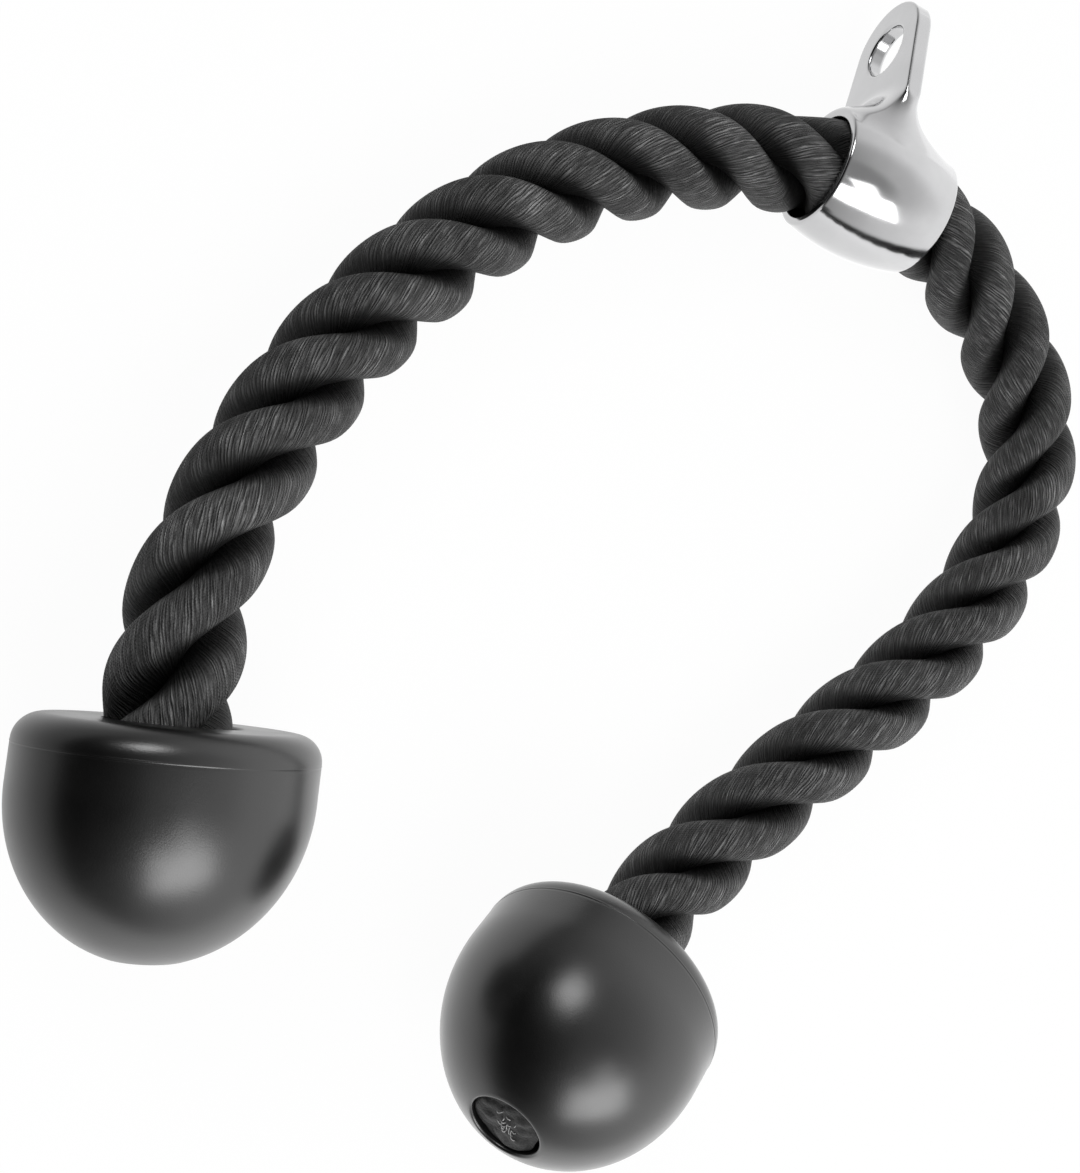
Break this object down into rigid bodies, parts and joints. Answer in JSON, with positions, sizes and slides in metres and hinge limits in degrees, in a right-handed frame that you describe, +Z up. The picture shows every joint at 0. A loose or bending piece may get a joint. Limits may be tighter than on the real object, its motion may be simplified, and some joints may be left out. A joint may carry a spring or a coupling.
{
  "type": "triceps rope attachment",
  "caption": "Thick laid rope held at its middle in a chromed clamp with a flat eyed tab, with a moulded rubber ball handle on each end.",
  "frame": {"origin": "on the floor under the middle of the box round the clamp and the two balls", "axes": "+X along the clamp's sleeve from the left arm to the right arm, +Y out along the clamp's tab, +Z up from the floor that the rope lies on"},
  "size_m": [0.2952, 0.3604, 0.0746],
  "materials": {
    "chrome": "polished chrome plate",
    "rope": "laid black nylon, semi-matt",
    "melted_rope": "heat-sealed nylon",
    "ferrule": "zinc-plated steel",
    "ball_rubber": "moulded rubber, semi-gloss"
  },
  "bodies": {
    "clamp": {"clamp_body": "chrome", "rope_in_clamp": "rope", "left_rope_bend": "rope", "right_rope_bend": "rope"},
    "left_arm": {"left_rope_arm": "rope", "left_rope_end": "rope", "left_rope_tip": "melted_rope", "left_ferrule": "ferrule", "left_ball": "ball_rubber"},
    "right_arm": {"right_rope_arm": "rope", "right_rope_end": "rope", "right_rope_tip": "melted_rope", "right_ferrule": "ferrule", "right_ball": "ball_rubber"}
  },
  "joints": [
    {"name": "left_arm_swing", "type": "hinge", "parent": "clamp", "child": "left_arm", "pos_m": [0.02959, 0.10495, 0.01856], "axis": [0, 0, -1], "range_deg": [-5, 45], "stiffness_Nm_per_rad": 0.3, "deforming": ["left_rope_bend"]},
    {"name": "right_arm_swing", "type": "hinge", "parent": "clamp", "child": "right_arm", "pos_m": [0.13927, 0.10133, 0.01963], "axis": [0, 0, 1], "range_deg": [-5, 45], "stiffness_Nm_per_rad": 0.3, "deforming": ["right_rope_bend"]}
  ]
}
